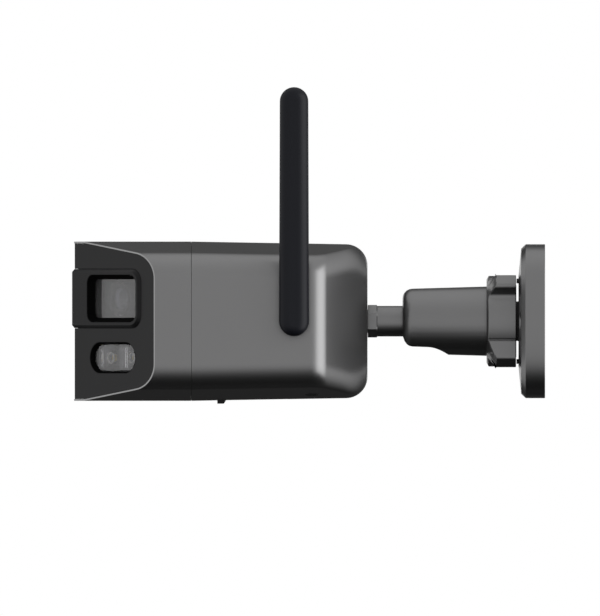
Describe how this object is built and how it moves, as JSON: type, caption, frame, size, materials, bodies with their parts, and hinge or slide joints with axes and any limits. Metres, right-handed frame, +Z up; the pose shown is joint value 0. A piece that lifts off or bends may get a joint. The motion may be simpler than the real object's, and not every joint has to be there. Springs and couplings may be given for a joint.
{
  "type": "security camera",
  "caption": "Wall-mounted panoramic security camera: two-lens V-shaped front, side antenna and a ball-jointed, nut-locked bracket on a soft-square wall plate.",
  "frame": {"origin": "centre of the wall plate's back face, on the wall", "axes": "+X out of the wall along the bracket, the way the camera looks; +Z up; +Y the side with the antenna"},
  "size_m": [0.215, 0.1044, 0.1439],
  "materials": {
    "housing": "fine matte texture, dark grey",
    "bracket": "satin dark grey",
    "panel": "satin black",
    "antenna": "satin blue-black",
    "rubber": "matte",
    "washer": "white slip plastic",
    "steel": "plain",
    "brass": "plain",
    "aluminium": "plain",
    "glass": "clear, smoked",
    "cover": "clear",
    "lens": "coated",
    "filter": "coated",
    "black": "matte black",
    "optic": "bright reflector",
    "board": "green solder mask",
    "led_board": "white solder mask",
    "led": "yellow phosphor",
    "chip": "matte black",
    "pad": "soft pad",
    "ribbon": "polyimide",
    "button": "light grey"
  },
  "bodies": {
    "bracket": {"base_plate": "bracket", "base_seal": "rubber", "spacer_ring": "black"},
    "washer": {"slip_washer": "washer"},
    "nut": {"lock_nut": "bracket"},
    "socket": {"socket_cup": "bracket", "ball_shoe": "washer"},
    "stem": {"ball_stem": "bracket", "stem_seal": "rubber", "stem_washer": "steel", "stem_nut": "brass"},
    "head": {"front_shell": "housing", "rear_shell": "housing", "shell_seal": "rubber", "body_screws": "steel", "vent_plug": "black", "front_panel": "panel", "lens_hood": "panel", "front_frame": "black", "frame_screws": "steel", "window_glass_left": "glass", "window_glass_right": "glass", "lens_barrel_left": "black", "lens_barrel_right": "black", "lens_front_left": "lens", "lens_front_right": "lens", "lens_holder_left": "black", "lens_holder_right": "black", "sensor_board_left": "board", "sensor_board_right": "board", "light_cover_left": "cover", "light_cover_right": "cover", "light_optic_left": "optic", "light_optic_right": "optic", "led_board_left": "led_board", "led_board_right": "led_board", "leds_left": "led", "leds_right": "led", "chassis": "aluminium", "main_board": "board", "main_chips": "chip", "thermal_pad": "pad", "heat_spreader": "aluminium", "wifi_board": "board", "wifi_shield": "steel", "flex_left": "ribbon", "flex_right": "ribbon", "speaker": "black", "microphone": "steel", "card_board": "board", "card_socket": "steel", "door_pin": "steel", "antenna_hub": "antenna", "antenna_lead": "rubber"},
    "antenna": {"antenna_cover": "antenna", "antenna_pin": "brass"},
    "door": {"card_door": "black"},
    "button": {"reset_button": "button"},
    "filter_left": {"ir_filter_left": "filter"},
    "filter_right": {"ir_filter_right": "filter"}
  },
  "joints": [
    {"name": "bracket_pan", "type": "hinge", "parent": "bracket", "child": "socket", "pos_m": [0.0453, 0, 0], "axis": [1, 0, 0], "range_deg": [-180, 180]},
    {"name": "washer_slide", "type": "slide", "parent": "bracket", "child": "washer", "axis": [1, 0, 0], "range_m": [0, 0.0016]},
    {"name": "nut_turn", "type": "hinge", "parent": "washer", "child": "nut", "pos_m": [0.02, 0, 0], "axis": [1, 0, 0], "range_deg": [0, 360]},
    {"name": "ball_tilt", "type": "hinge", "parent": "socket", "child": "stem", "pos_m": [0.0533, 0, 0], "axis": [0, 1, 0], "range_deg": [-8, 90]},
    {"name": "head_roll", "type": "hinge", "parent": "stem", "child": "head", "pos_m": [0.085, 0, 0], "axis": [1, 0, 0], "range_deg": [-180, 180]},
    {"name": "antenna_swing", "type": "hinge", "parent": "head", "child": "antenna", "pos_m": [0.1141, 0.048, 0], "axis": [0, 1, 0], "range_deg": [-90, 90]},
    {"name": "door_swing", "type": "hinge", "parent": "head", "child": "door", "pos_m": [0.1185, 0, -0.0339], "axis": [0, 1, 0], "range_deg": [0, 90]},
    {"name": "button_press", "type": "slide", "parent": "head", "child": "button", "axis": [0, 0, 1], "range_m": [0, 0.0005], "stiffness_N_per_m": 600, "springref_m": -0.0005},
    {"name": "filter_left_slide", "type": "slide", "parent": "head", "child": "filter_left", "axis": [0, 0, 1], "range_m": [0, 0.0082]},
    {"name": "filter_right_slide", "type": "slide", "parent": "head", "child": "filter_right", "axis": [0, 0, 1], "range_m": [0, 0.0082]}
  ],
  "couplings": [
    {"joint": "washer_slide", "follows": "nut_turn", "m_per_rad": 0.00023873}
  ]
}
